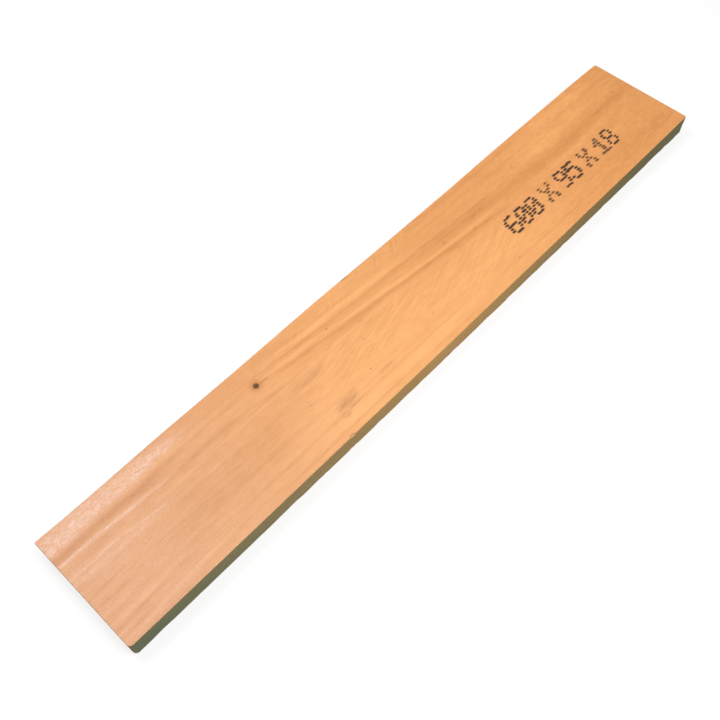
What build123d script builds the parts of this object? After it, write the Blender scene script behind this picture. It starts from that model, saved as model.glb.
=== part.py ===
from build123d import *
import os
from math import sqrt

# A timber plank: one short board, sawn to length and planed, lying flat on its underside.
# The origin is in the middle of the underside, +X runs along the grain and +Z is up.
# Left and right are the ends at -X and +X, front and back are the long edges at -Y and +Y.

# Overall size of the board
plank_length = 600.0
plank_width = 95.0
plank_thickness = 18.0

# Front edge: one shallow bow, with the middle of the board standing proud of the two ends
front_edge_bow = plank_length / 1500

# Back edge: the planer has followed the waves of the board. Each dip is how far the edge lies
# inside the overall width, at stations spread evenly from the left end to the right end.
back_edge_dips = (1.2, 1.35, 0.65, 0.7, 0.45, 0.0, 0.4, 0.55, 0.7, 0.15, 0.15, 0.1, 0.75)

# Upright corners, of which the left front one is knocked round, and the eased arrises of both faces
left_front_corner_radius = 3.2
left_back_corner_radius = 0.8
right_corner_radius = 2.0
arris_radius = 0.6

# Chip lifted out of the front edge's upper arris, along the grain
chip_from_left_end = 189.0
chip_length = 6.0
chip_depth = 1.4

# Tear-out where the saw left the right end, along its front upright corner
tear_above_underside = 8.5
tear_height = 11.0
tear_depth = 1.9

half_length = plank_length / 2
half_width = plank_width / 2


def front_edge_y(x):
    """Where the bowed front edge lies across the board, at a place along it."""
    bow_radius = (half_length**2 + front_edge_bow**2) / (2 * front_edge_bow)
    return bow_radius - half_width - sqrt(bow_radius**2 - x**2)


def back_edge_points():
    """The stations of the wavy back edge, from left to right."""
    spacing = plank_length / (len(back_edge_dips) - 1)
    return [(i * spacing - half_length, half_width - dip) for i, dip in enumerate(back_edge_dips)]


def break_flake(place, outward, length, depth):
    """Cut the shell-shaped hollow of a broken-off flake, measured from the sharp edge it left."""
    ball_radius = ((length / 2) ** 2 + depth**2) / (2 * depth)
    centre = Vector(place) + Vector(outward).normalized() * (ball_radius - depth)
    with Locations(centre):
        Sphere(ball_radius, mode=Mode.SUBTRACT)


with BuildPart() as plank:
    # Plan of the board
    with BuildSketch(Plane.XY):
        with BuildLine():
            front_left = (-half_length, front_edge_y(-half_length))
            front_right = (half_length, front_edge_y(half_length))
            front_edge = ThreePointArc(front_left, (0, -half_width), front_right)
            back_edge = Spline(*back_edge_points())
            Line(front_edge @ 0, back_edge @ 0)
            Line(front_edge @ 1, back_edge @ 1)
        make_face()
    extrude(amount=plank_thickness)

    # Upright corners, then the arrises that run round the top and the underside
    left_corners = plank.edges().filter_by(Axis.Z).group_by(Axis.X)[0].sort_by(Axis.Y)
    fillet(left_corners[0], left_front_corner_radius)
    left_corners = plank.edges().filter_by(Axis.Z).group_by(Axis.X)[0].sort_by(Axis.Y)
    fillet(left_corners[-1], left_back_corner_radius)
    right_corners = plank.edges().filter_by(Axis.Z).group_by(Axis.X)[-1]
    fillet(right_corners, right_corner_radius)
    faces = plank.faces().filter_by(Axis.Z)
    fillet(faces.edges(), arris_radius)

    # Chip in the front upper arris
    chip_x = chip_from_left_end - half_length
    chip_place = (chip_x, front_edge_y(chip_x), plank_thickness)
    break_flake(chip_place, (0, -1, 1), chip_length, chip_depth)

    # Tear-out on the front upright corner of the right end
    tear_place = (half_length, front_edge_y(half_length), tear_above_underside)
    break_flake(tear_place, (1, -1, 0), tear_height, tear_depth)
plank.part.label = "plank"

os.makedirs("parts", exist_ok=True)
export_step(plank.part, "parts/plank.step")
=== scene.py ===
import math
import bmesh
import bpy
import numpy as np
from mathutils import Euler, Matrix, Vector


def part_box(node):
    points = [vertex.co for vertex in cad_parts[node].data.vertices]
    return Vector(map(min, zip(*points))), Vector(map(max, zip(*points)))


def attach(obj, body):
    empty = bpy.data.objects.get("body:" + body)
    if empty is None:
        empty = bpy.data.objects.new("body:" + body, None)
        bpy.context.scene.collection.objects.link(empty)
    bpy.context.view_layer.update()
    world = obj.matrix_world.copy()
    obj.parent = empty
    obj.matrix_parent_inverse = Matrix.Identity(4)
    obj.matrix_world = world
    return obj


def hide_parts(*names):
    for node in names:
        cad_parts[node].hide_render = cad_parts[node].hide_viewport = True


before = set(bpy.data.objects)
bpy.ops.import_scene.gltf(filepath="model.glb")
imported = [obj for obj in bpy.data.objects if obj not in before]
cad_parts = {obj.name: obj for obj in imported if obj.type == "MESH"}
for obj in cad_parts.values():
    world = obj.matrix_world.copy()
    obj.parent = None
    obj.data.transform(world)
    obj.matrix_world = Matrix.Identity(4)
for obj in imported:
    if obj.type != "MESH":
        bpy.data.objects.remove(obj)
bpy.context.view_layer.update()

# Sizes and places on the board are in millimetres. "Along" (u) runs from the left end (-X), "across"
# (d) from the back edge (+Y) and "depth" down from the upper face, as they are read off the board.
MM = 0.001
LOW, HIGH = (np.array(corner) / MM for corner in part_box("plank"))
LENGTH, WIDTH, THICKNESS = HIGH - LOW
ARRIS = 0.6

# Upper face: how far the planed surface and the print on it lie under the box, the height and pitch of
# the planer's waves, and how far across the board they swing to and fro
PLANED_BELOW_BOX, PRINT_BELOW_BOX = 0.05, 0.01
WAVE_HEIGHT, WAVE_PITCH, WAVE_SWING = 0.02, 69.115, 30.0

# Knot, with the depths of its dish and of the crack round it
KNOT_ALONG, KNOT_ACROSS, KNOT_RADIUS = 171.1, 20.1, 2.1
KNOT_DISH, KNOT_CRACK = 0.12, 0.25

# Flakes broken off the front edge and off the right end's front corner, which is round up to a place
CHIP_ALONG, CHIP_LENGTH, CHIP_DEPTH = 189.0, 6.0, 1.4
TEAR_HEIGHT, TEAR_LENGTH, TEAR_DEPTH = 8.5, 11.0, 1.9
ROUND_CORNER = 6.0

# Frayed lower front arris: how far it reaches up and in, and the depths of its long and short tears
FRAY_UP, FRAY_IN, FRAY_LONG, FRAY_SHORT = 2.5, 1.2, 0.3, 0.2

# Heart of the tree that the board was sawn from: how far behind the back edge and above the board
HEART_BEHIND, HEART_ABOVE = 150.0, 120.0

# How far the fibres drift across the board from its left end to its right end
GRAIN_DRIFT = 17.0

# Size mark printed on the upper face in dots: the first dot's place, the pitch of the characters, of
# the dots in a row and of the rows, how far the top leans to the right, and the half axes of a dot
MARK_ALONG, MARK_ACROSS = 401.0, 53.0
CHARACTER_PITCH, DOT_PITCH, ROW_PITCH, MARK_LEAN = 12.9, 2.2, 2.55, 1.8
DOT_ALONG, DOT_ACROSS = 2.05, 1.12
MARK_GRID, MARK_FILM = 0.4, 0.06

# Spacing of the mesh over the faces and up the narrow faces, and closer at arrises, ends and flaws
GRID_ALONG, GRID_ACROSS, GRID_UP = 5.0, 0.8, 1.5
GRID_AT_ARRIS, GRID_AT_END, GRID_AT_FLAW, GRID_GROWTH = 0.13, 0.25, 0.4, 0.3

# Map of the board's faces: the gap between two faces, and how much the ends are stretched
MAP_GAP, MAP_STRETCH = 1.5, 3.0

# Light that the world and the floor give off where they are seen, and the world's as a lamp
SEEN_WORLD, SEEN_FLOOR, WORLD_LEVEL = 1.0, 0.75, 0.36

# Camera, as the photograph was taken
CAMERA_PLACE = (-0.29488, -0.22455, 0.53701)
CAMERA_TURN = (31.1995, -0.1354, -46.8494)
CAMERA_LENS = 43.334


# Board mesh

UPPER, UNDER, FRONT, BACK, RIGHT, LEFT = range(6)


def stations(stop, step, finer):
    """Places from 0 to stop, at most a step apart, and closer round each (centre, reach, spacing)."""
    places = [0.0]
    while places[-1] < stop:
        steps = [size + GRID_GROWTH * max(0.0, abs(places[-1] - centre) - reach)
                 for centre, reach, size in finer]
        places.append(places[-1] + min(steps + [step]))
    return np.array(places) * stop / places[-1]


def cad_edges():
    """The front and the back edge of the CAD board's plan, each as x and y from left to right."""
    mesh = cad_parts["plank"].data
    points = np.empty(len(mesh.vertices) * 3)
    mesh.vertices.foreach_get("co", points)
    points = points.reshape(-1, 3) / MM
    rim = points[np.abs(points[:, 2] - LOW[2] - ARRIS) < 0.02]
    edges = []
    for side in (rim[rim[:, 1] < 0], rim[rim[:, 1] > 0]):
        edges.append(side[np.lexsort((np.abs(side[:, 1]), side[:, 0]))][:, :2])
    return edges


def front_edge_place(x, height=0.0):
    """The point of the front edge at an x, at a height above the underside."""
    return np.array([x, np.interp(x, *cad_edges()[0].T), height])


def torn_corner(height=0.0):
    """The right end's front corner, as it was before it was rounded and torn."""
    return front_edge_place(HIGH[0] - ROUND_CORNER, height) + (ROUND_CORNER, 0, 0)


def places_of(points):
    """Along, across and depth of points."""
    return np.column_stack([points[:, 0] - LOW[0], HIGH[1] - points[:, 1], THICKNESS - points[:, 2]])


def smooth(low, high, value):
    """0 below low and 1 above high, with a soft passage between."""
    share = np.clip((value - low) / (high - low), 0, 1)
    return share * share * (3 - 2 * share)


def between(value, start, full, still_full, stop):
    """1 from full to still_full, and softly down to 0 at start and at stop."""
    return smooth(start, full, value) * (1 - smooth(still_full, stop, value))


def wander(places, spacing, seed):
    """Smooth noise between -1 and 1 along a line, from random values a spacing apart."""
    steps = (places - places.min()) / spacing
    values = np.random.default_rng(seed).uniform(-1, 1, int(steps.max()) + 2)
    cell = steps.astype(int)
    share = smooth(0, 1, steps - cell)
    return values[cell] * (1 - share) + values[cell + 1] * share


def distance_inside(points, outline):
    """How far each plan point lies from a closed outline."""
    nearest = np.full(len(points), np.inf)
    for start, stop in zip(outline, np.roll(outline, -1, axis=0)):
        run = stop - start
        along = np.clip((points - start) @ run / max(run @ run, 1e-12), 0, 1)
        nearest = np.minimum(nearest, np.hypot(*(points - start - along[:, None] * run).T))
    return nearest


def ease(inside):
    """How far a face falls away towards a rounded arris, by the distance in from the outline."""
    left = np.clip(ARRIS - inside, 0, ARRIS)
    return ARRIS - np.sqrt(ARRIS**2 - left**2)


def knot_distance(along, across):
    """Distance from the knot's middle, in knot radii. The knot is a little narrower across."""
    return np.hypot(along - KNOT_ALONG, 1.1 * (across - KNOT_ACROSS)) / KNOT_RADIUS


def top_relief(along, across):
    """Depth of the upper face under the box: planer waves, and the dished and cracked knot."""
    waves = WAVE_HEIGHT * np.sin(math.tau * along / WAVE_PITCH + 2.0 * np.sin(across / WAVE_SWING))
    knot = knot_distance(along, across)
    dish = KNOT_DISH * np.exp(-knot**2)
    crack = KNOT_CRACK * np.exp(-((knot - 0.85) / 0.18) ** 2)
    return PLANED_BELOW_BOX + waves + dish + crack


def grid_lines():
    """Where the mesh lines lie along the board, across it, and up its narrow faces from the top."""
    columns = stations(LENGTH, GRID_ALONG, [
        (0.0, 2.5, GRID_AT_END), (LENGTH, 2.5, GRID_AT_END),
        (KNOT_ALONG, 3.5, GRID_AT_FLAW), (CHIP_ALONG, 3.2, GRID_AT_FLAW)])
    rows = stations(WIDTH, GRID_ACROSS, [
        (0.0, ARRIS, GRID_AT_ARRIS), (WIDTH, ARRIS, GRID_AT_ARRIS), (KNOT_ACROSS, 3.0, GRID_AT_FLAW)])
    down = stations(THICKNESS - 2 * ARRIS, GRID_UP, [(0.0, 0.5, 0.3), (0.0, 3.0, 0.45)])
    return columns, rows, THICKNESS - ARRIS - down


def broad_faces(columns, rows):
    """Points of the upper face and of the underside, which end in rounded arrises on the CAD's outline."""
    front, back = cad_edges()
    x = columns + LOW[0]
    front_y = np.interp(x, *front.T)
    back_y = np.interp(x, *back.T)
    y = back_y[:, None] + (front_y - back_y)[:, None] * rows / WIDTH
    plan = np.stack([np.repeat(x[:, None], len(rows), 1), y], -1).reshape(-1, 2)
    inside = distance_inside(plan, np.concatenate([front, back[::-1]]))
    relief = top_relief(plan[:, 0] - LOW[0], HIGH[1] - plan[:, 1]) * smooth(0, ARRIS, inside)
    return np.column_stack([plan, THICKNESS - ease(inside) - relief]), np.column_stack([plan, ease(inside)])


def grid_quads(nx, ny):
    """The faces of a grid of points, which are counted row by row."""
    cell = np.arange(nx * ny).reshape(nx, ny)
    return np.stack([cell[:-1, :-1], cell[:-1, 1:], cell[1:, 1:], cell[1:, :-1]], -1).reshape(-1, 4)


def grid_rim(nx, ny):
    """The grid places round a board face: along the front edge, and back along the other one."""
    last_x, last_y = nx - 1, ny - 1
    rim = [(i, last_y) for i in range(nx)] + [(last_x, j) for j in range(last_y - 1, -1, -1)]
    rim += [(i, 0) for i in range(last_x - 1, -1, -1)] + [(0, j) for j in range(1, last_y)]
    return np.array(rim)


def rim_sides(rim):
    """Which narrow face hangs under each run of the rim."""
    last_x, last_y = rim.max(axis=0)
    stays = rim == np.roll(rim, -1, axis=0)
    x, y = rim.T
    on_front = stays[:, 1] & (y == last_y)
    on_back = stays[:, 1] & (y == 0)
    on_right = stays[:, 0] & (x == last_x)
    return np.select([on_front, on_back, on_right], [FRONT, BACK, RIGHT], LEFT)


def board_grid():
    """The closed board: its points, its faces, and the side of the board that each face is on."""
    columns, rows, levels = grid_lines()
    top, under = broad_faces(columns, rows)
    nx, ny = len(columns), len(rows)
    rim = grid_rim(nx, ny)
    rim_top = rim @ (ny, 1)
    walls = [np.column_stack([top[rim_top, :2], np.full(len(rim), level)]) for level in levels[1:-1]]
    points = np.concatenate([top, under] + walls)

    # The narrow faces hang in strips between the rims of the two broad faces
    quads = grid_quads(nx, ny)
    first_wall = 2 * nx * ny
    bands = [rim_top] + [first_wall + k * len(rim) + np.arange(len(rim)) for k in range(len(walls))]
    bands = np.array(bands + [nx * ny + rim_top])
    following = np.roll(bands, -1, axis=1)
    strips = np.stack([bands[:-1], bands[1:], following[1:], following[:-1]], -1).reshape(-1, 4)
    faces = np.concatenate([quads, nx * ny + quads[:, ::-1], strips])
    strip_sides = np.tile(rim_sides(rim), len(bands) - 1)
    sides = np.concatenate([np.full(len(quads), UPPER), np.full(len(quads), UNDER), strip_sides])
    return points, faces, sides


def map_places(places, faces, sides):
    """Where each face corner lies on the square map, on which the sides are bands one above another."""
    u, d, depth = places[faces].transpose(2, 0, 1)
    broad, narrow = WIDTH + MAP_GAP, THICKNESS + MAP_GAP
    ends = 2 * broad + 2 * narrow
    bands = {UPPER: (u, d), UNDER: (u, broad + d), FRONT: (u, 2 * broad + depth),
             BACK: (u, 2 * broad + narrow + depth), RIGHT: (MAP_STRETCH * d, ends + depth),
             LEFT: (MAP_STRETCH * (broad + d), ends + depth)}
    across = np.choose(sides[:, None], [bands[side][0] for side in sorted(bands)])
    up = np.choose(sides[:, None], [bands[side][1] for side in sorted(bands)])
    height = ends + narrow + 2 * MAP_GAP
    return np.stack([(across + MAP_GAP) / (LENGTH + 3 * MAP_GAP), (up + MAP_GAP) / height], -1)


def knock_off(points, place, outward, length, depth):
    """Press the points inside a ball out onto it, which leaves the hollow of a broken-off flake."""
    ball = ((length / 2) ** 2 + depth**2) / (2 * depth)
    outward = np.array(outward) / np.linalg.norm(outward)
    centre = place + outward * (ball - depth)
    away = points - centre
    distance = np.linalg.norm(away, axis=1)
    inside = distance < ball
    fibres = 0.12 * np.sin(points[:, 2] * 7.0 + 0.4 * points[:, 0]) + 0.08 * np.sin(points[:, 1] * 11.0)
    reach = (ball + fibres * smooth(0, 0.4 * depth, ball - distance))[inside]
    points[inside] = centre + away[inside] * (reach / distance[inside])[:, None]


def wear(points, places):
    """Fray the lower front arris and knock the flakes off. Returns how far each point moved."""
    before = points.copy()
    u, d, depth = places.T
    frayed = smooth(THICKNESS - FRAY_UP, THICKNESS - 0.3, depth) * smooth(WIDTH - FRAY_IN, WIDTH - 0.5, d)
    torn = frayed * np.clip(wander(u, 9.0, 3) * FRAY_LONG + wander(u, 2.5, 4) * FRAY_SHORT, 0, 1)
    points[:, 1] += torn
    points[:, 2] += torn * 0.3
    chip_place = front_edge_place(LOW[0] + CHIP_ALONG, THICKNESS)
    knock_off(points, chip_place, (0, -1, 1), CHIP_LENGTH, CHIP_DEPTH)
    knock_off(points, torn_corner(TEAR_HEIGHT), (1, -1, 0), TEAR_LENGTH, TEAR_DEPTH)
    return np.linalg.norm(points - before, axis=1)


# Figure of the wood

# Every band's middle wanders and its width swells, by a share of the width and over these lengths, and
# it fades out over no more than a length
BAND_CHANGE, BAND_WANDER, BAND_SWELL, BAND_FADE = 0.25, 17.0, 26.0, 24.0

# Seeds of the two groups of bands, and how much further on the swelling's seeds lie
FIGURE_SEED, SHINE_SEED, SWELL_SEED = 0, 200, 50

# Bands of the figure on the upper face, and one broad painted pool of light: half width towards the back
# edge and towards the front edge, strength (dark is negative), and the middle's (along, across) points
BANDS = (
    (2.2, 3.2, -0.62, ((0, 21), (30, 20.5), (60, 21), (90, 20))),
    (0.8, 2.0, -0.24, ((70, 18.5), (120, 18.5), (175, 18))),
    (1.0, 3.6, -0.34, ((75, 30.5), (110, 28), (150, 29), (165, 31), (195, 35))),
    (0.6, 0.7, 0.25, ((75, 36), (190, 36.2), (260, 36.5))),
    (0.6, 1.0, -0.26, ((90, 11), (150, 12.5), (200, 15.5), (215, 17))),
    (3.0, 3.0, -0.16, ((15, 31), (45, 31))),
    (0.8, 1.0, -0.34, ((0, 55), (10, 55), (30, 53.5))),
    (0.7, 0.9, -0.26, ((0, 63), (24, 62.5))),
    (0.7, 1.0, -0.30, ((0, 72), (18, 72), (34, 71))),
    (0.7, 1.3, -0.34, ((0, 81.5), (15, 81), (38, 79))),
    (0.7, 0.9, -0.22, ((0, 88), (30, 86), (60, 85))),
    (1.5, 1.5, 0.20, ((0, 78), (30, 76.5), (60, 75.5))),
    (1.6, 1.6, 0.24, ((0, 90.5), (40, 88), (80, 86))),
    (0.9, 1.2, -0.32, ((0, 95), (30, 93), (60, 92.5))),
    (0.7, 1.3, -0.24, ((110, 80), (205, 79.5))),
    (1.8, 1.8, -0.14, ((95, 67), (190, 66))),
    (0.6, 0.9, -0.24, ((195, 9), (240, 11), (290, 13.5))),
    (2.8, 2.0, 0.42, ((185, 11), (240, 14.5), (280, 17), (315, 20.5))),
    (0.6, 1.8, -0.38, ((190, 16.5), (225, 17.3), (260, 20), (300, 22), (340, 24), (410, 27))),
    (2.6, 3.0, -0.26, ((225, 20), (260, 23), (300, 26), (350, 29), (410, 32))),
    (1.0, 1.0, 0.42, ((190, 20), (230, 23), (260, 27), (300, 31.5), (330, 35), (380, 38.6), (415, 39.5))),
    (1.0, 2.6, -0.62,
     ((190, 23), (230, 27.5), (260, 30.5), (300, 34.5), (330, 37.5), (360, 40.5), (415, 45))),
    (2.0, 2.0, -0.16, ((190, 30), (240, 33), (285, 35))),
    (0.7, 1.0, -0.38, ((210, 79), (260, 80), (315, 80.5))),
    (2.0, 2.2, -0.16, ((230, 76), (330, 75.5))),
    (4.0, 4.0, 0.22, ((180, 85), (240, 85), (300, 84), (335, 83))),
    (0.6, 1.0, -0.40, ((130, 90), (195, 89.5), (260, 89.8), (335, 91))),
    # Broad light band across the middle towards the front edge: a painted pool of light
    (24.0, 20.0, 0.26, ((160, 76), (300, 76), (440, 84))),
    (4.6, 5.0, -0.31, ((345, 30), (400, 32.5), (450, 36), (500, 37.5), (540, 37.5), (600, 37))),
    (3.4, 2.8, -0.06, ((430, 38.5), (500, 39.5), (548, 39.5))),
    (11.0, 9.0, 0.26, ((462, 19), (510, 20), (575, 18))),
    (2.5, 3.0, 0.32, ((465, 46), (500, 46.5), (552, 45))),
    (2.6, 2.6, 0.16, ((425, 20), (480, 24), (535, 22))),
    (3.0, 3.0, 0.24, ((455, 27), (490, 28), (518, 27))),
    (3.0, 2.6, -0.26, ((345, 4), (410, 5), (475, 5))),
    (0.6, 1.1, -0.28, ((435, 15), (500, 15.5), (560, 15), (600, 14))),
    (5.0, 4.0, 0.42, ((498, 7), (535, 8), (562, 9))),
    (0.7, 1.3, -0.32, ((375, 84), (450, 85.5), (520, 85), (600, 83))),
    (0.6, 0.7, -0.18, ((325, 12.5), (400, 12.5))),
    (5.0, 5.0, 0.14, ((400, 62), (470, 60), (560, 60))),
    (9.0, 9.0, -0.16, ((500, 80), (600, 82))),
    (26.0, 24.0, -0.30, ((62, 55), (110, 55), (170, 57))),
    (12.0, 10.0, -0.14, ((280, 6), (370, 10), (440, 12))),
    (16.0, 15.0, -0.16, ((320, 22), (400, 30), (475, 32))),
    (8.0, 8.0, -0.26, ((72, 3), (130, 4), (185, 7), (225, 8))),
    (9.0, 9.0, -0.14, ((150, 44), (190, 46))),
)

# Bands where the planer left the wood glossier, which also carry a painted whitish sheen: half widths,
# strength and middle in the same way
SHINING = (
    (4.2, 2.8, 0.85, ((0, 14), (30, 13.5), (60, 13), (100, 11))),
    (4.4, 4.4, 0.72, ((0, 7), (50, 6), (80, 7), (98, 9))),
    (1.1, 0.9, 0.90, ((0, 26), (35, 25.8), (55, 27.5), (80, 29))),
    (1.0, 1.0, 0.75, ((0, 37.5), (40, 37), (55, 39.5), (72, 41.8))),
    (3.0, 3.0, 0.28, ((0, 41), (30, 42), (60, 44))),
)


def ring_place(d, depth):
    """Where the growth ring through a point comes up on the upper face, across the board."""
    reach = (d + HEART_BEHIND) ** 2 + (depth + HEART_ABOVE) ** 2
    return np.sqrt(reach - HEART_ABOVE**2) - HEART_BEHIND


def streak(u, v, behind, before, line, seed):
    """One band of the figure, from 0 to 1. Its middle passes the (along, across) points of the line, and
    it fades out over its half widths behind and before that."""
    along, across = np.array(line).T
    middle = sum(np.interp(u + shift, along, across) for shift in (-10, 0, 10)) / 3
    middle = middle + BAND_CHANGE * min(behind, before) * wander(u, BAND_WANDER, seed)
    swell = 1 + BAND_CHANGE * wander(u, BAND_SWELL, seed + SWELL_SEED)
    width = np.where(v < middle, behind, before) * swell
    start, stop = along[0], along[-1]
    fade = min(BAND_FADE, (stop - start) / 4)
    ends = 1.0
    if start > 0:
        ends = ends * smooth(start - fade, start + fade, u)
    if stop < LENGTH:
        ends = ends * (1 - smooth(stop - fade, stop + fade, u))
    return ends * np.exp(-((v - middle) / width) ** 2)


def add_streaks(u, v, bands, first_seed):
    """Sum of listed bands."""
    total = np.zeros_like(u)
    for number, (behind, before, strength, line) in enumerate(bands):
        total += strength * streak(u, v, behind, before, line, first_seed + number)
    return total


def grain_place(u, v, depth):
    """Coordinates that run with the fibres: they drift across the board and part round the knot."""
    drift = GRAIN_DRIFT * smooth(140, 420, u) * (1 - 0.7 * smooth(25, 85, v)) * smooth(-20, 12, v)
    near = np.exp(-((u - KNOT_ALONG) / 7.0) ** 2 - ((v - KNOT_ACROSS) / 3.2) ** 2)
    across = v - drift - 0.7 * near * (v - KNOT_ACROSS) + 0.5 * wander(u, 60.0, 90)
    return np.stack([u, across, depth], -1)


# Pieces

def new_mesh(name, points, faces, material):
    """A mesh object in the row frame, from points in millimetres."""
    mesh = bpy.data.meshes.new(name)
    mesh.from_pydata((np.asarray(points) * MM).tolist(), [], [list(map(int, face)) for face in faces])
    mesh.materials.append(material)
    piece = bpy.data.objects.new(name, mesh)
    bpy.context.scene.collection.objects.link(piece)
    return piece


def store(mesh, name, values):
    """Keep one vector for each point of a mesh, for its material to read."""
    attribute = mesh.attributes.new(name, "FLOAT_VECTOR", "POINT")
    attribute.data.foreach_set("vector", np.ascontiguousarray(values, dtype=np.float32).ravel())


def store_map(mesh, corners):
    """Give a mesh its map, from the place of each face corner on it."""
    mesh.uv_layers.new(name="OFBake").data.foreach_set("uv", corners.astype(np.float32).ravel())


def paint(mesh, places, broken, ink):
    """Give a mesh of wood its figure: what each point's place on the board says about its looks."""
    u, d, depth = places.T
    v = ring_place(d, depth)
    store(mesh, "grain", grain_place(u, v, depth))
    fine_flame = between(u, 170, 215, 290, 330) * between(v, 34, 42, 58, 70)
    broad_flame = between(u, 290, 345, 385, 430) * between(v, 44, 52, 74, 84)
    # The figure's bands include a painted pool of light across the middle
    store(mesh, "figure", np.stack([add_streaks(u, v, BANDS, FIGURE_SEED), fine_flame, broad_flame], -1))
    # Shining bands: glossier wood, which the material also paints with a whitish sheen
    shine = np.clip(add_streaks(u, v, SHINING, SHINE_SEED), 0, 1)
    ripple = between(u, 95, 210, 310, 400) * (1 - smooth(11, 20, v))
    store(mesh, "sheen_ripple_broken", np.stack([shine, ripple, smooth(0.02, 0.3, broken)], -1))
    store(mesh, "print", np.stack([ink, ink, ink], -1))


def make_board(material):
    """The board itself, with its rounded arrises, its relief and its broken edges."""
    points, faces, sides = board_grid()
    places = places_of(points)
    broken = wear(points, places)
    board = new_mesh("plank_board", points, faces, material)
    store_map(board.data, map_places(places, faces, sides))
    paint(board.data, places, broken, np.zeros(len(places)))
    board.data.shade_smooth()
    board.data.set_sharp_from_angle(angle=math.radians(35))
    return board


# Slivers of wood that still hang at the torn corner of the right end: how far inside the end and the
# front edge each one starts and stops, the heights of its root and its tip, and its width
SLIVERS = (
    ((2.4, 0.6), (0.15, 0.9), (11.8, 8.6), 1.1),
    ((1.6, 1.0), (0.5, 0.25), (5.0, 7.6), 0.9),
    ((2.2, 2.2), (0.3, 0.6), (10.5, 6.8), 0.8),
    ((0.7, 2.6), (1.2, 0.2), (4.6, 8.4), 0.9),
    ((0.4, 1.5), (0.5, 1.4), (13.4, 10.2), 0.7),
)

# Rings of a sliver from its root on: how far along it each one lies, and its size
SLIVER_RINGS = ((0.0, 1.0), (0.35, 0.9), (0.7, 0.55))


def make_sliver(start, stop, width):
    """A bent splinter that tapers to a point: its points, and its faces as places among them."""
    across = np.cross(stop - start, (1.0, -1.0, 0.0))
    across *= width / 2 / np.linalg.norm(across)
    outward = np.array([0.25, -0.25, 0.0]) * width
    points = []
    for share, size in SLIVER_RINGS:
        middle = start + (stop - start) * share + outward * 0.6 * math.sin(math.pi * share)
        points += [middle - across * size, middle - outward * size, middle + across * size,
                   middle + outward * size]
    tip = len(points)
    faces = [(3, 2, 1, 0)]
    for ring in range(0, tip - 4, 4):
        faces += [(ring + i, ring + (i + 1) % 4, ring + 4 + (i + 1) % 4, ring + 4 + i) for i in range(4)]
    faces += [(tip - 4 + i, tip - 4 + (i + 1) % 4, tip) for i in range(4)]
    return points + [stop], faces


def make_slivers(material):
    """The torn fibres at the right end's front corner."""
    points, faces = [], []
    for root, tip, heights, width in SLIVERS:
        start = torn_corner(heights[0]) + (-root[0], root[1], 0)
        stop = torn_corner(heights[1]) + (-tip[0], tip[1], 0)
        sliver_points, sliver_faces = make_sliver(start, stop, width)
        faces += [[len(points) + i for i in face] for face in sliver_faces]
        points += sliver_points
    points = np.clip(np.array(points), LOW, HIGH)
    slivers = new_mesh("torn_slivers", points, faces, material)
    shape = bmesh.new()
    shape.from_mesh(slivers.data)
    bmesh.ops.recalc_face_normals(shape, faces=shape.faces)
    shape.to_mesh(slivers.data)
    shape.free()
    paint(slivers.data, places_of(points), np.full(len(points), 0.2), np.zeros(len(points)))
    return slivers


# Size mark

# Characters of the mark as rows of dots, and how many character pitches each starts from the first
DOTS = {
    "0": (".###.", "#...#", "#..##", "#.#.#", "##..#", "#...#", ".###."),
    "1": ("..#..", ".##..", "#.#..", "..#..", "..#..", "..#..", "#####"),
    "5": ("#####", "#....", "####.", "....#", "....#", "#...#", ".###."),
    "6": (".###.", "#....", "#....", "####.", "#...#", "#...#", ".###."),
    "8": (".###.", "#...#", "#...#", ".###.", "#...#", "#...#", ".###."),
    "9": (".###.", "#...#", "#...#", ".####", "....#", "....#", ".###."),
    "x": ("#...#", "#...#", ".#.#.", "..#..", ".#.#.", "#...#", "#...#"),
}
GAP_ROUND_CROSS = 0.5
FAINT_CHARACTERS, FAINT_INK = "x1", 0.85


def mark_dots():
    """Middles of the printed dots, along and across, and the darkness of each one's character."""
    text = "x".join(f"{size:.0f}" for size in (LENGTH, WIDTH, THICKNESS))
    dots = []
    start = 0.0
    for character in text:
        start += GAP_ROUND_CROSS * (character == "x")
        darkness = FAINT_INK if character in FAINT_CHARACTERS else 1.0
        for row, line in enumerate(DOTS[character]):
            for column, dot in enumerate(line):
                if dot == "#":
                    along = start * CHARACTER_PITCH + column * DOT_PITCH + MARK_LEAN * (1 - row / 6)
                    dots.append((MARK_ALONG + along, MARK_ACROSS + row * ROW_PITCH, darkness))
        start += 1 + GAP_ROUND_CROSS * (character == "x")
    return np.array(dots)


def ink_at(u, d):
    """How much ink lies at a place: dots with edges that have run along the fibres."""
    rng = np.random.default_rng(12)
    ink = np.zeros_like(u)
    run_on_fibre = 0.45 * wander(d.ravel(), 0.35, 7).reshape(d.shape)
    run = run_on_fibre + 0.3 * wander(u.ravel(), 1.7, 8).reshape(d.shape)
    for along, across, darkness in mark_dots():
        along, across = np.array([along, across]) + rng.normal(0, 0.16, 2)
        size = rng.uniform(0.86, 1.12)
        off_along = (u - along + run) / (DOT_ALONG * size)
        off_across = (d - across + 0.2 * run) / (DOT_ACROSS * size)
        ink = np.maximum(ink, darkness * (1 - smooth(0.5, 1.42, np.hypot(off_along, off_across))))
    return ink


def film_faces(quads, count):
    """Faces of a closed film: the quads, the same again from below, and the narrow sides. The points of
    the lower side follow the upper side's, in the same order."""
    runs = np.stack([quads, np.roll(quads, -1, axis=1)], -1).reshape(-1, 2).tolist()
    there = {tuple(run) for run in runs}
    rim = np.array([run for run in runs if (run[1], run[0]) not in there])
    narrow = np.stack([rim[:, 1], rim[:, 0], rim[:, 0] + count, rim[:, 1] + count], -1)
    return np.concatenate([quads, quads[:, ::-1] + count, narrow])


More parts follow.
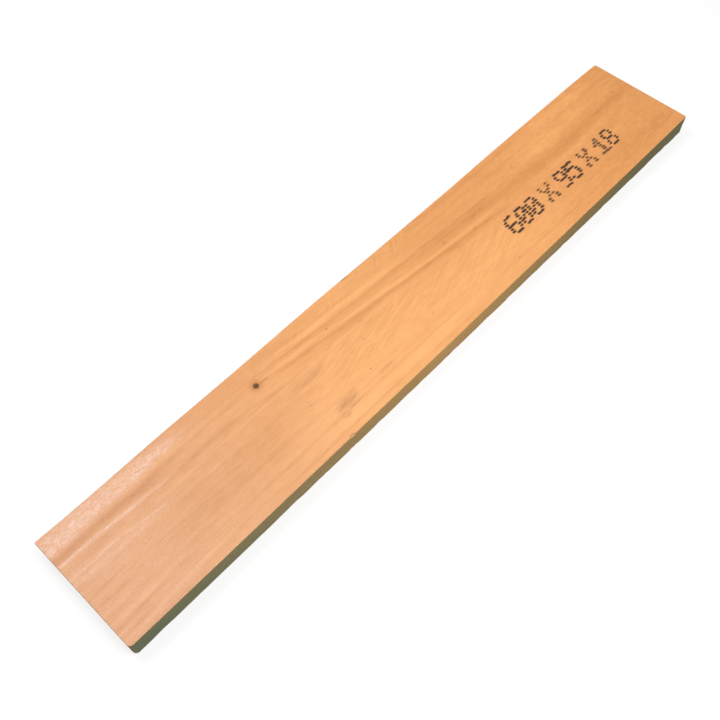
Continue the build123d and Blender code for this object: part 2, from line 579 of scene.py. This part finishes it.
def make_size_mark(material):
    """The ink of the size mark, as a film on the planed wood."""
    dots = mark_dots()
    u = np.arange(dots[:, 0].min() - 3, dots[:, 0].max() + 3, MARK_GRID)
    d = np.arange(dots[:, 1].min() - 2, dots[:, 1].max() + 2, MARK_GRID)
    quads = grid_quads(len(u), len(d))
    u, d = np.meshgrid(u, d, indexing="ij")
    ink = ink_at(u, d)
    quads = quads[(ink.ravel()[quads] > 0.02).any(axis=1)]
    used, quads = np.unique(quads, return_inverse=True)
    quads = quads.reshape(-1, 4)
    u, d, ink = u.ravel()[used], d.ravel()[used], ink.ravel()[used]
    film = THICKNESS - top_relief(u, d) + 0.02 * smooth(0, 0.3, ink) - 0.005
    film = np.minimum(film, THICKNESS - PRINT_BELOW_BOX)
    upper = np.column_stack([u + LOW[0], HIGH[1] - d, film])
    points = np.concatenate([upper, upper - (0, 0, MARK_FILM)])
    faces = film_faces(quads, len(used))
    mark = new_mesh("size_mark", points, faces, material)

    # The film's upper side lies on the lower half of its map, and its lower side on the upper half
    spread = np.array([np.ptp(u) + 1, 2.2 * (np.ptp(d) + 1)])
    half = np.column_stack([u - u.min(), d - d.min()]) / spread
    store_map(mark.data, np.concatenate([half, half + (0, 0.5)])[faces])
    places = np.column_stack([u, d, np.full(len(used), PLANED_BELOW_BOX)])
    paint(mark.data, np.tile(places, (2, 1)), np.zeros(2 * len(used)), np.tile(ink, 2))
    mark.data.shade_smooth()
    return mark


# Node graphs

class Signal:
    """A socket's value. Arithmetic on it adds Math nodes."""

    def __init__(self, graph, socket):
        self.graph = graph
        self.socket = socket

    def __add__(self, other):
        return self.graph.math("ADD", self, other)

    def __sub__(self, other):
        return self.graph.math("SUBTRACT", self, other)

    def __rsub__(self, other):
        return self.graph.math("SUBTRACT", other, self)

    def __mul__(self, other):
        return self.graph.math("MULTIPLY", self, other)

    def clamp(self):
        inputs = {"Value": self, "Min": 0.0, "Max": 1.0}
        return self.graph.signal(self.graph.node("Clamp", inputs))


class Graph:
    """The nodes of a material or of the world."""

    def __init__(self, owner):
        owner.use_nodes = True
        self.tree = owner.node_tree

    def node(self, kind, inputs=(), **settings):
        """Add a node, with inputs given by name or number, and return it."""
        node = self.tree.nodes.new("ShaderNode" + kind)
        for name, value in settings.items():
            setattr(node, name, value)
        for name, value in dict(inputs).items():
            self.feed(node.inputs[name], value)
        return node

    def feed(self, socket, value):
        """Set an input, or link it where the value is a signal."""
        if isinstance(value, Signal):
            self.tree.links.new(value.socket, socket)
        else:
            socket.default_value = value

    def signal(self, node, output=0):
        return Signal(self, node.outputs[output])

    def math(self, operation, *values):
        return self.signal(self.node("Math", enumerate(values), operation=operation))

    def scaled(self, vector, factors):
        """A vector with each of its parts multiplied."""
        return self.signal(self.node("VectorMath", {0: vector, 1: factors}, operation="MULTIPLY"))

    def noise(self, vector, sizes, detail=2.0, roughness=0.5, distortion=0.0):
        """Noise between about -1 and 1, whose lumps have the given sizes along the vector's parts."""
        place = self.scaled(vector, [1 / size for size in sizes])
        inputs = {"Vector": place, "Scale": 1.0, "Detail": detail, "Roughness": roughness,
                  "Distortion": distortion}
        return (self.signal(self.node("TexNoise", inputs)) - 0.5) * 2.6

    def turned(self, vector, angle):
        """A vector in axes turned by an angle about Z, in degrees."""
        inputs = {"Vector": vector, "Angle": -math.radians(angle)}
        return self.signal(self.node("VectorRotate", inputs, rotation_type="Z_AXIS"))

    def parts(self, vector):
        node = self.node("SeparateXYZ", {0: vector})
        return [self.signal(node, i) for i in range(3)]

    def attribute(self, name):
        return self.signal(self.node("Attribute", attribute_name=name), "Vector")

    def smooth(self, low, high, value):
        inputs = {"Value": value, "From Min": low, "From Max": high}
        return self.signal(self.node("MapRange", inputs, interpolation_type="SMOOTHSTEP"))

    def mix(self, factor, first, second, blend="MIX"):
        """Blend of two colours."""
        node = self.node("Mix", data_type="RGBA", blend_type=blend)
        self.feed(node.inputs[0], factor)
        for socket, value in ((node.inputs[6], first), (node.inputs[7], second)):
            self.feed(socket, value if isinstance(value, Signal) else (*value, 1.0))
        return self.signal(node, 2)

    def tinted(self, base, factor, first, second):
        """A colour multiplied by a blend of two others."""
        return self.mix(1.0, base, self.mix(factor, first, second), "MULTIPLY")


# Wood

# Planed wood near the left end, in the middle and at the right end, and what streaks multiply it by
NEAR_WOOD, MIDDLE_WOOD, FAR_WOOD = (0.80, 0.43, 0.228), (0.86, 0.415, 0.168), (0.83, 0.368, 0.130)
DARK_STREAK, LIGHT_STREAK = (0.74, 0.62, 0.52), (1.22, 1.30, 1.38)
# Tints that the wood is multiplied by: plain, and a pinkish painted sheen near the left end
PLAIN_WOOD, PINK_SHEEN_TINT = (0.99, 0.99, 0.93), (1.02, 1.03, 1.22)
# Painted sheen on the shining bands, darker patches among them, and freshly broken wood
PAINTED_SHEEN, DARK_PATCH_WOOD, BROKEN_WOOD = (0.91, 0.61, 0.475), (0.60, 0.31, 0.20), (0.84, 0.46, 0.25)
END_DARK, END_LIGHT = (0.30, 0.15, 0.065), (0.66, 0.40, 0.20)

# Marks on it, and the knot from its halo inwards
SPECK, PORE, SMUDGE, INK = (0.16, 0.10, 0.07), (0.30, 0.15, 0.08), (0.40, 0.18, 0.075), (0.034, 0.017, 0.012)
KNOT_HALO, KNOT_TRAIL, KNOT_BARK = (0.52, 0.20, 0.055), (0.50, 0.15, 0.03), (0.035, 0.014, 0.007)
KNOT_WOOD, KNOT_PITH = (0.20, 0.095, 0.042), (0.05, 0.02, 0.01)

# What the narrow long faces are multiplied by: painted olive shade and greenish bounce light, deepest at the
# left and the right end, with a lighter painted greenish tint between them
LEFT_END_SHADE, RIGHT_END_SHADE, MIDDLE_SIDE_TINT = (0.22, 0.475, 0.385), (0.165, 0.315, 0.098), (0.86, 1.03, 0.80)
# Where the painted shade on the narrow faces is least, and over what lengths it deepens towards the ends
LEAST_SHADE_FROM, LEAST_SHADE_TO, LEFT_PASSAGE, RIGHT_PASSAGE = 14.0, 536.0, 276, 240

# Marks on the upper face: place along and across, half length, half width and darkness
SPECKS = (
    (237.7, 22.8, 0.9, 0.7, 0.60), (250.0, 48.2, 1.5, 0.6, 0.38), (235.3, 68.2, 1.3, 0.6, 0.36),
    (227.3, 35.0, 3.4, 0.6, 0.22), (259.5, 35.3, 2.8, 0.5, 0.22), (322.0, 10.0, 1.0, 0.7, 0.40),
    (355.3, 32.7, 2.0, 1.4, 0.20), (369.3, 49.3, 1.0, 0.7, 0.30), (375.5, 45.0, 0.9, 0.6, 0.26),
    (382.7, 41.2, 1.6, 0.7, 0.30), (391.6, 32.5, 3.2, 0.8, 0.24), (400.0, 32.3, 1.0, 0.7, 0.24),
    (394.5, 35.6, 0.9, 0.8, 0.22), (452.4, 22.6, 0.8, 1.4, 0.24), (581.0, 30.5, 1.2, 0.7, 0.40),
    (300.4, 69.6, 0.7, 0.5, 0.40), (186.6, 55.3, 1.7, 0.5, 0.22), (186.2, 58.4, 2.2, 0.7, 0.24),
    (278.5, 0.9, 3.4, 0.7, 0.50), (289.0, 0.7, 1.4, 0.6, 0.45), (384.3, 83.5, 1.0, 0.6, 0.40),
)
SMUDGES = (
    (205.0, 74.5, 11.0, 4.2, 0.60), (213.0, 71.5, 5.0, 2.0, 0.40), (198.0, 80.5, 4.5, 3.4, 0.46),
    (209.0, 79.3, 10.0, 1.0, 0.50), (199.0, 42.0, 15.0, 4.0, 0.34), (244.0, 75.3, 6.5, 1.5, 0.50),
)


class Wood:
    """The signals that the wood's colour, gloss and relief are worked out from."""

    def __init__(self, g):
        self.g = g
        texture = g.node("TexCoord")
        facing = g.parts(g.signal(texture, "Normal"))
        self.place = g.scaled(g.signal(texture, "Object"), [1 / MM] * 3)
        self.grain = g.attribute("grain")
        self.along = g.parts(self.grain)[0]
        self.tone, self.fine_flame, self.broad_flame = g.parts(g.attribute("figure"))
        shine, self.ripple, self.broken = g.parts(g.attribute("sheen_ripple_broken"))
        self.ink = g.parts(g.attribute("print"))[0]

        # Upper face and underside, the ends, and the front and the back edge face
        self.top = g.smooth(0.6, 0.9, g.math("ABSOLUTE", facing[2]))
        self.end = g.smooth(0.55, 0.85, g.math("ABSOLUTE", facing[0]))
        self.side = g.smooth(0.45, 0.9, facing[1] * -1) + g.smooth(0.45, 0.9, facing[1]) * 0.45

        # Streaks and hairs along the grain, and clouds, grit and saw marks
        self.fibres = g.noise(self.grain, (15, 0.6, 0.7), 4, 0.7)
        self.strands = g.noise(self.grain, (48, 1.7, 2.0), 3, 0.65, 0.3)
        self.hairs = g.smooth(0.40, 0.90, g.noise(self.grain, (6, 0.28, 0.4), 1))
        self.clouds = g.noise(self.place, (22, 9, 9), 4, 0.65)
        self.grit = g.noise(self.place, (1.5, 0.75, 1.0), 2, 0.7)
        self.saw = g.noise(self.place, (30, 0.35, 14), 3, 0.6)

        # Shining bands, which are made of flakes: glossier wood with a painted sheen
        flakes = g.noise(g.turned(self.place, 5), (5.0, 1.9, 5.0), 4, 0.7, 0.5)
        self.in_shine = g.smooth(0.02, 0.3, shine) * self.top
        self.shine = (shine * (flakes * 1.15 + self.grit * 0.5 + 0.52)).clamp() * self.top

        # The place, shaken a little for marks with ragged edges
        shake = g.signal(g.node("TexNoise", {"Vector": self.place, "Scale": 1.2, "Detail": 1.0}), "Color")
        shake = g.signal(g.node("VectorMath", {0: shake, 1: (0.5, 0.5, 0.5)}, operation="SUBTRACT"))
        inputs = {0: shake, 1: (0.9, 0.9, 0.0), 2: self.place}
        self.ragged = g.signal(g.node("VectorMath", inputs, operation="MULTIPLY_ADD"))


def lightness(wood):
    """Light and dark of the planed wood, from 0 to 1."""
    g = wood.g
    rough_end = g.smooth(360.0, 520.0, wood.along)
    near_end = g.smooth(230.0, 30.0, wood.along)
    lumps = g.noise(wood.place, (5.5, 2.6, 4.0), 3, 0.6)
    light = wood.tone + g.noise(wood.grain, (240, 5.5, 7), 2) * 0.16
    light = light + wood.strands * (0.24 - rough_end * 0.12) + wood.fibres * (0.38 - rough_end * 0.12)
    light = light + wood.clouds * 0.24 + lumps * (rough_end * 0.26 + 0.20) - wood.hairs * 0.30
    light = light + wood.grit * near_end * 0.60

    # Flame figure past the knot, and creases across the grain near the back edge
    for mask, angle, sizes, amount in ((wood.fine_flame, 14, (30, 1.4, 20), 0.55),
                                       (wood.broad_flame, 21, (46, 3.2, 20), 0.52)):
        flame = g.noise(g.turned(wood.place, angle), sizes, 2, 0.5, 0.5)
        light = light + flame * mask * amount * wood.top
    creases = g.noise(g.turned(wood.place, 47), (60, 3.0, 20), 1, 0.5, 0.6)
    creases = g.smooth(0.13, 0.0, g.math("ABSOLUTE", creases)) * g.smooth(-0.1, 0.4, wood.clouds + lumps)
    light = light - creases * wood.ripple * 0.55 * wood.top
    return (light * 0.5 + 0.5).clamp()


def planed_colour(wood):
    """The planed wood, with a pinkish painted sheen near the left end and a painted sheen on the glossier
    shining bands there.
    """
    g = wood.g
    base = g.mix(g.smooth(0.0, 260.0, wood.along), NEAR_WOOD, MIDDLE_WOOD)
    base = g.mix(g.smooth(250.0, 560.0, wood.along), base, FAR_WOOD)
    base = g.tinted(base, lightness(wood), DARK_STREAK, LIGHT_STREAK)
    # Pinkish painted sheen near the left end
    pink_sheen = (g.noise(wood.grain, (60, 2.0, 3.0), 2) * 0.6 + 0.5).clamp() * g.smooth(260.0, 20.0, wood.along)
    base = g.tinted(base, pink_sheen, PLAIN_WOOD, PINK_SHEEN_TINT)
    # Painted sheen on the shining bands, with darker patches among them
    base = g.mix(wood.shine, base, PAINTED_SHEEN)
    dark_patches = g.smooth(0.15, 0.6, g.noise(wood.place, (3.2, 1.2, 2.0), 3, 0.65, 0.5))
    return g.mix(dark_patches * wood.in_shine * 0.42, base, DARK_PATCH_WOOD)


def spots(g, place, marks):
    """Darkness of a group of soft-edged spots, given as in SPECKS."""
    total = None
    for along, across, half_length, half_width, darkness in marks:
        middle = (LOW[0] + along, HIGH[1] - across)
        factors = (1 / half_length, 1 / half_width, 0.0)
        shift = [-middle[0] * factors[0], -middle[1] * factors[1], 0.0]
        away = g.signal(g.node("VectorMath", {0: place, 1: factors, 2: shift}, operation="MULTIPLY_ADD"))
        reach = g.signal(g.node("VectorMath", {0: away}, operation="LENGTH"), "Value")
        spot = g.smooth(1.35, 0.35, reach) * darkness
        total = spot if total is None else g.math("MAXIMUM", total, spot)
    return total


def add_spots(wood, base, marks, colour, ragged=True):
    """Lay spots of one colour on the upper face."""
    place = wood.ragged if ragged else wood.place
    return wood.g.mix(spots(wood.g, place, marks) * wood.top, base, colour)


def pinpricks(g, place):
    """Tiny dark pores, one in some of the cells of an uneven grid."""
    cells = g.node("TexVoronoi", {"Vector": g.scaled(place, (0.11, 0.17, 0.0)), "Scale": 1.0})
    chosen = g.smooth(0.55, 0.95, g.parts(g.signal(cells, "Color"))[0])
    return g.smooth(0.075, 0.03, g.signal(cells, "Distance")) * chosen * 0.7


def add_marks(wood, base):
    """Specks, pores and smudges on the upper face."""
    g = wood.g
    base = add_spots(wood, base, SPECKS, SPECK)
    pores = pinpricks(g, wood.place) * g.smooth(150.0, 420.0, wood.along)
    base = g.mix(pores * wood.top, base, PORE)
    smeared = g.noise(g.turned(wood.place, 14), (12, 1.6, 20), 3, 0.6) * 0.9 + 0.65
    return g.mix((spots(g, wood.ragged, SMUDGES) * smeared).clamp() * wood.top, base, SMUDGE)


def add_knot(wood, base):
    """The knot in its halo, with a ring of bark, and the trail that leaves it."""
    halo, bark, inner, pith = [
        [(KNOT_ALONG, KNOT_ACROSS, KNOT_RADIUS * size, KNOT_RADIUS * size, darkness)]
        for size, darkness in ((2.6, 0.5), (1.15, 1.0), (0.62, 0.75), (0.25, 0.8))]
    trail = [(KNOT_ALONG + 6.5, KNOT_ACROSS + 0.6, 5.5, 0.7, 0.6)]
    base = add_spots(wood, base, halo, KNOT_HALO, ragged=False)
    base = add_spots(wood, base, trail, KNOT_TRAIL)
    base = add_spots(wood, base, bark, KNOT_BARK)
    base = add_spots(wood, base, inner, KNOT_WOOD, ragged=False)
    return add_spots(wood, base, pith, KNOT_PITH, ragged=False)


def add_end_grain(wood, base):
    """Saw-cut ends: growth rings, darker end grain and saw marks."""
    g = wood.g
    rings = g.noise(g.scaled(wood.grain, (0.001, 1.0, 0.04)), (1, 1.3, 1.0), 2, 0.6)
    share = (rings * 0.7 + wood.saw * 0.25 + wood.clouds * 0.2 + 0.5).clamp()
    return g.mix(wood.end, base, g.mix(share, END_DARK, END_LIGHT))


def add_side_shade(wood, base):
    """Front and back edge faces, with painted olive shade and greenish bounce light that deepen towards the
    ends of the board.
    """
    g = wood.g
    blotch = g.noise(wood.place, (30, 8, 4), 4, 0.65)
    from_left = (wood.along - LEAST_SHADE_FROM) * (1 / LEFT_PASSAGE)
    from_right = (LEAST_SHADE_TO - wood.along) * (1 / RIGHT_PASSAGE)
    less_shade = g.math("MINIMUM", from_left, from_right) + blotch * 0.14
    end_shade = g.mix(g.smooth(100.0, 500.0, wood.along), LEFT_END_SHADE, RIGHT_END_SHADE)
    streaks = (g.noise(wood.place, (16, 3, 1.1), 3, 0.6) * 0.5 + 0.5).clamp()
    side_shade = g.tinted(g.mix(less_shade.clamp(), end_shade, MIDDLE_SIDE_TINT), streaks, (0.86, 0.85, 0.84), (1.12, 1.11, 1.10))
    return g.mix(wood.side, base, g.mix(1.0, base, side_shade, "MULTIPLY"))


def wood_material():
    """Planed softwood, which reads its figure from the points of its mesh."""
    material = bpy.data.materials.new("planed_wood")
    g = Graph(material)
    wood = Wood(g)
    base = add_knot(wood, add_marks(wood, planed_colour(wood)))
    base = g.mix(wood.ink, base, INK)
    # Painted shade and greenish bounce light on the front and the back edge face
    base = add_side_shade(wood, add_end_grain(wood, base))
    base = g.mix(wood.broken * 0.6, base, BROKEN_WOOD)

    shader = g.tree.nodes["Principled BSDF"]
    g.feed(shader.inputs["Base Color"], base)
    g.feed(shader.inputs["Roughness"], 0.56 - wood.shine * 0.2 + wood.fibres * 0.06 + wood.end * 0.25)
    shader.inputs["Specular IOR Level"].default_value = 0.22
    height = wood.fibres * 0.02 + wood.strands * 0.02 + wood.hairs * -0.03 + wood.saw * wood.end * 0.08
    bump = g.node("Bump", {"Height": height, "Distance": MM, "Strength": 0.8})
    g.feed(shader.inputs["Normal"], g.signal(bump))
    return material


# Stage

def area_lamp(name, place, target, size, power):
    """A square lamp at a place, turned to a target."""
    lamp = bpy.data.lights.new(name, "AREA")
    lamp.size = size
    lamp.energy = power
    holder = bpy.data.objects.new(name, lamp)
    holder.location = place
    holder.rotation_euler = (Vector(target) - Vector(place)).to_track_quat("-Z", "Y").to_euler()
    bpy.context.scene.collection.objects.link(holder)


def seen_rays(g):
    """1 for camera, mirror and glass rays, which meet the white background, and 0 for the rest."""
    path = g.node("LightPath")
    seen = g.signal(path, "Is Camera Ray") + g.signal(path, "Is Glossy Ray")
    return (seen + g.signal(path, "Is Transmission Ray")).clamp()


def make_world():
    """White where it is seen, and dimmer as a lamp."""
    world = bpy.data.worlds.new("studio")
    bpy.context.scene.world = world
    g = Graph(world)
    background = g.tree.nodes["Background"]
    background.inputs["Color"].default_value = (1, 1, 1, 1)
    g.feed(background.inputs["Strength"], seen_rays(g) * (SEEN_WORLD - WORLD_LEVEL) + WORLD_LEVEL)


def make_floor():
    """Pale paper that takes shadows and lights nothing."""
    paper = bpy.data.materials.new("floor_paper")
    g = Graph(paper)
    diffuse = g.node("BsdfDiffuse", {"Color": (0.3, 0.3, 0.3, 1)})
    glow = g.node("Emission", {"Color": (1, 1, 1, 1), "Strength": seen_rays(g) * SEEN_FLOOR})
    add = g.node("AddShader")
    g.tree.links.new(diffuse.outputs[0], add.inputs[0])
    g.tree.links.new(glow.outputs[0], add.inputs[1])
    g.tree.links.new(add.outputs[0], g.tree.nodes["Material Output"].inputs["Surface"])
    reach = 4000.0
    corners = [(-reach, -reach, 0), (reach, -reach, 0), (reach, reach, 0), (-reach, reach, 0)]
    new_mesh("floor", corners, [(0, 1, 2, 3)], paper)


def make_camera():
    """The photograph's camera."""
    data = bpy.data.cameras.new("camera")
    data.lens = CAMERA_LENS
    data.sensor_width = 36.0
    camera = bpy.data.objects.new("camera", data)
    camera.location = CAMERA_PLACE
    camera.rotation_euler = Euler([math.radians(angle) for angle in CAMERA_TURN])
    bpy.context.scene.collection.objects.link(camera)
    bpy.context.scene.camera = camera


timber = wood_material()
board = make_board(timber)
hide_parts("plank")
size_mark = make_size_mark(timber)
slivers = make_slivers(timber)
for piece in (board, size_mark, slivers):
    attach(piece, "root")

make_world()
make_floor()
area_lamp("window", (-0.23, 0.57, 1.09), (-0.12, 0.0, 0.0), 0.5, 5.9)
area_lamp("ceiling", (0.0, -0.30, 0.72), (0.0, 0.0, 0.0), 0.4, 2.8)
make_camera()
bpy.context.scene.view_settings.view_transform = "Standard"
